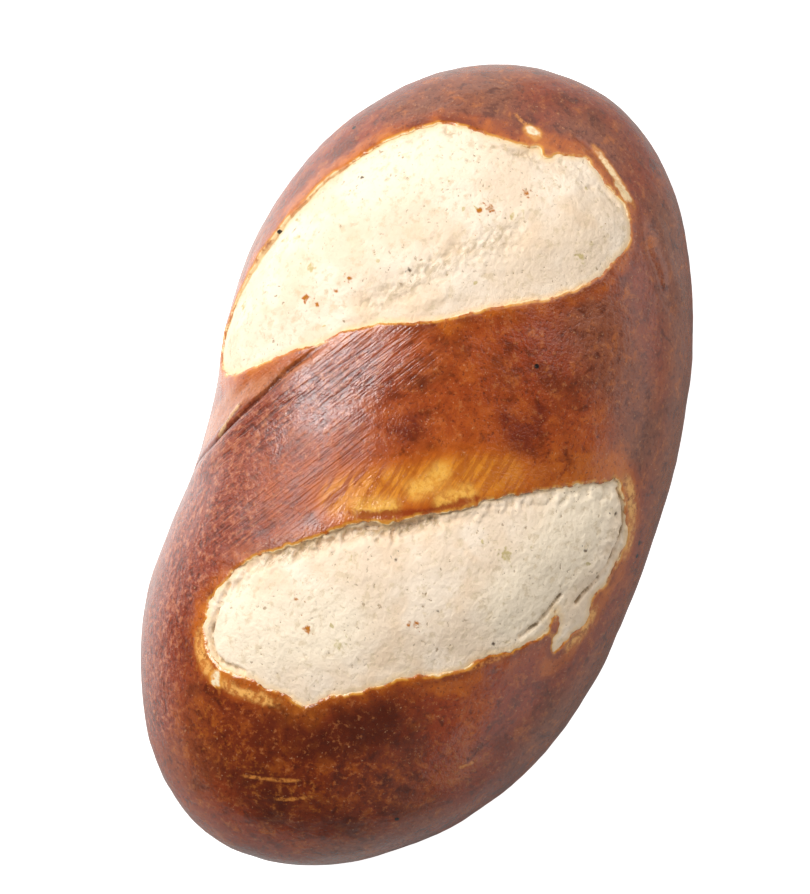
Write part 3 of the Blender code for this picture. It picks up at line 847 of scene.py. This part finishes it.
crumbLook = {
    "textures": {
        "cloud": (9.0, 4.0, 0.55, 0.3, 1, 0),
        "patch": (5.0, 2.0, 0.5, 0.0, 1, 0),
        "dust": (1.3, 4.0, 0.7, 0.0, 1, 0),
        "pores": (0.75, 2.0, 0.55, 0.2, 1, 0),
        "fibres": (0.8, 3.0, 0.6, 0.8, 2.2, 20),
        "fleck": (1.5, 1.0, 0.5, 0.4, 1, 0),
    },
    "base": "f5ddc1",
    "coats": [  # as for the crust
        ("fce8d0", ("cloud", 0.42, 0.62, 0.0, 1.0)),
        ("f0d2b0", ("patch", 0.52, 0.68, 0.0, 0.55)),
        # paler crumb: partly flour, partly painted light where the lamps leave the crumb too dim
        ("fdebd0", ("flourAndPaintedLight", 0.0, 0.8, 0.0, 0.95)),
        ("dcc49f", ("dust", 0.48, 0.34, 0.0, 0.6)),
        ("a98d6c", ("pores", 0.36, 0.27, 0.0, 0.8), ("patch", 0.62, 0.4, 0.3, 1.0)),
        # torn crumb, greyer where it tore, with painted shade in the hollow under the lip
        ("bfa680", ("tornAndShaded", 0.1, 0.9, 0.0, 1.0), ("fibres", 0.58, 0.42, 0.1, 0.85)),
        # painted shade in the crumb's cracks
        ("8a6a40", ("crackShade", 0.35, 0.95, 0.0, 0.75)),
        ("b9a450", ("fleck", 0.73, 0.77, 0.0, 0.6), ("cloud", 0.45, 0.55, 0.0, 1.0)),
        ("b4a04a", ("bran", 0.0, 1.0, 0.0, 0.65), ("pores", 0.35, 0.6, 0.4, 1.0)),
        ("b86f1e", ("toast", 0.0, 1.0, 0.0, 1.0), ("pores", 0.35, 0.55, 0.5, 1.0)),
        ("4d3a24", ("char", 0.0, 1.0, 0.0, 0.9)),
        ("f6d3a0", ("rimGap", 1.3, 0.1, 0.0, 0.7), ("dust", 0.35, 0.55, 0.4, 1.0)),
    ],
    "relief": [("pores", None, 0.5), ("dust", None, 0.5), ("fibres", None, 0.2), ("fibres", "tornAndShaded", 0.3)],
    "depth": 0.3,
    "roughness": 0.85,
    "ior": 1.3,
}


def paintCrumb():
    material, tree, shader = newMaterial("baked_crumb")  # dry floury bread crumb, dull
    look = crumbLook
    sources = readSources(tree, crumbs[0], look["textures"])
    tree.links.new(layCoats(tree, sources, look["base"], look["coats"]), shader.inputs["Base Color"])
    shader.inputs["Roughness"].default_value = look["roughness"]
    shader.inputs["IOR"].default_value = look["ior"]
    raiseGrain(tree, sources, shader, look["relief"], look["depth"])
    return material


crustMaterial, crumbMaterial = paintCrust(), paintCrumb()
for piece, material in ((crust, crustMaterial), (crumbs[0], crumbMaterial), (crumbs[1], crumbMaterial)):
    piece.data.materials.clear()
    piece.data.materials.append(material)
    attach(piece, "root")
    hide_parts("roll")
print("materials painted")

studio = {
    "cameraPlace": (2.42, 4.15, 639.5),
    "cameraTurn": -70.0,  # the roll lies slantwise in view
    "lens": 160.95,
    "seenFrom": 10.0,  # nothing nearer than this is drawn
    "floor": "cbcac8",
    "floorRoughness": 0.9,
    "floorSize": 6000.0,
    "floorHeight": -0.15,  # a hair under the flat base, so that the two don't fight for the same place
    "floorGlow": 1.0,  # for the camera alone, so that the table looks white and lights the roll as paper does
    "cards": [  # glowing patches on the table: the way in degrees, distance, reach, end of fading, glow
        (161, 106, 50, 100, 1.1),
        (97, 125, 35, 80, 0.5),
    ],
    "sky": (0.12, 1.25),  # its dimmest and brightest
    "skySide": (0.85, -0.16, -0.5),  # the way to its brightest
    "lamps": [  # name, the way from the view's right in degrees, height in degrees, distance, size, watts
        ("keySoftbox", 154, 48, 800, (380, 370), 5.6),
        ("lowSoftbox", 151, 17, 800, (420, 260), 0.9),
        ("fillSoftbox", 52, 50, 800, (600, 500), 1.2),
        ("lowerSoftbox", -50, 28, 800, (1100, 600), 0.32),
        ("sideSoftbox", -18, 14, 800, (1400, 450), 1.4),
    ],
}
viewTurn = math.radians(studio["cameraTurn"])


def makeFloor():
    place = (0, 0, studio["floorHeight"] * mm)
    bpy.ops.mesh.primitive_plane_add(size=studio["floorSize"] * mm, location=place)
    floor = bpy.context.object
    floor.name = "paleFloor"
    material, tree, shader = newMaterial("matte_card")  # smooth seamless paper
    shader.inputs["Base Color"].default_value = colourOf(studio["floor"])
    shader.inputs["Roughness"].default_value = studio["floorRoughness"]
    shader.inputs["Emission Color"].default_value = (1, 1, 1, 1)
    seen = addNode(tree, "ShaderNodeLightPath", {}).outputs["Is Camera Ray"]
    where = addNode(tree, "ShaderNodeTexCoord", {}).outputs["Object"]
    sockets = {0: seen, 1: studio["floorGlow"]}
    glow = addNode(tree, "ShaderNodeMath", sockets, operation="MULTIPLY").outputs[0]
    for azimuth, distance, reach, end, most in studio["cards"]:
        around = viewTurn + math.radians(azimuth)
        card = Vector((math.cos(around), math.sin(around), 0)) * distance * mm
        sockets = {0: where, 1: card}
        away = addNode(tree, "ShaderNodeVectorMath", sockets, operation="DISTANCE").outputs["Value"]
        sockets = {"Value": away, "From Min": reach * mm, "From Max": end * mm, "To Min": most, "To Max": 0.0}
        lit = addNode(tree, "ShaderNodeMapRange", sockets, interpolation_type="SMOOTHSTEP").outputs["Result"]
        glow = addNode(tree, "ShaderNodeMath", {0: glow, 1: lit}, operation="ADD").outputs[0]
    tree.links.new(glow, shader.inputs["Emission Strength"])
    floor.data.materials.append(material)


def makeSky():
    world = bpy.data.worlds.new("studio")
    world.use_nodes = True
    tree = world.node_tree
    background = tree.nodes["Background"]
    way = addNode(tree, "ShaderNodeTexCoord", {}).outputs["Generated"]
    sockets = {0: way, 1: studio["skySide"]}
    side = addNode(tree, "ShaderNodeVectorMath", sockets, operation="DOT_PRODUCT").outputs["Value"]
    sockets = {"Value": side, "From Min": 0.0, "From Max": 1.0}
    sockets |= {"To Min": studio["sky"][0], "To Max": studio["sky"][1]}
    strength = addNode(tree, "ShaderNodeMapRange", sockets, interpolation_type="SMOOTHSTEP")
    tree.links.new(strength.outputs["Result"], background.inputs["Strength"])
    background.inputs["Color"].default_value = (1, 1, 1, 1)
    bpy.context.scene.world = world


def hangLamps():
    for name, azimuth, elevation, distance, size, watts in studio["lamps"]:
        around, up = math.radians(azimuth) + viewTurn, math.radians(elevation)
        toLamp = Vector((math.cos(around) * math.cos(up), math.sin(around) * math.cos(up), math.sin(up)))
        bpy.ops.object.light_add(type="AREA", location=toLamp * distance * mm)
        lamp = bpy.context.object
        lamp.name = name
        lamp.rotation_euler = toLamp.to_track_quat("Z", "Y").to_euler()
        lamp.data.shape = "RECTANGLE"
        lamp.data.size, lamp.data.size_y = size[0] * mm, size[1] * mm
        lamp.data.energy = watts


def placeCamera():
    bpy.ops.object.camera_add(location=Vector(studio["cameraPlace"]) * mm, rotation=(0, 0, viewTurn))
    camera = bpy.context.object
    camera.name = "camera"
    camera.data.lens = studio["lens"]
    camera.data.clip_start = studio["seenFrom"] * mm
    bpy.context.scene.camera = camera
    bpy.context.scene.view_settings.view_transform = "Standard"


makeFloor()
makeSky()
hangLamps()
placeCamera()
print("studio lit")
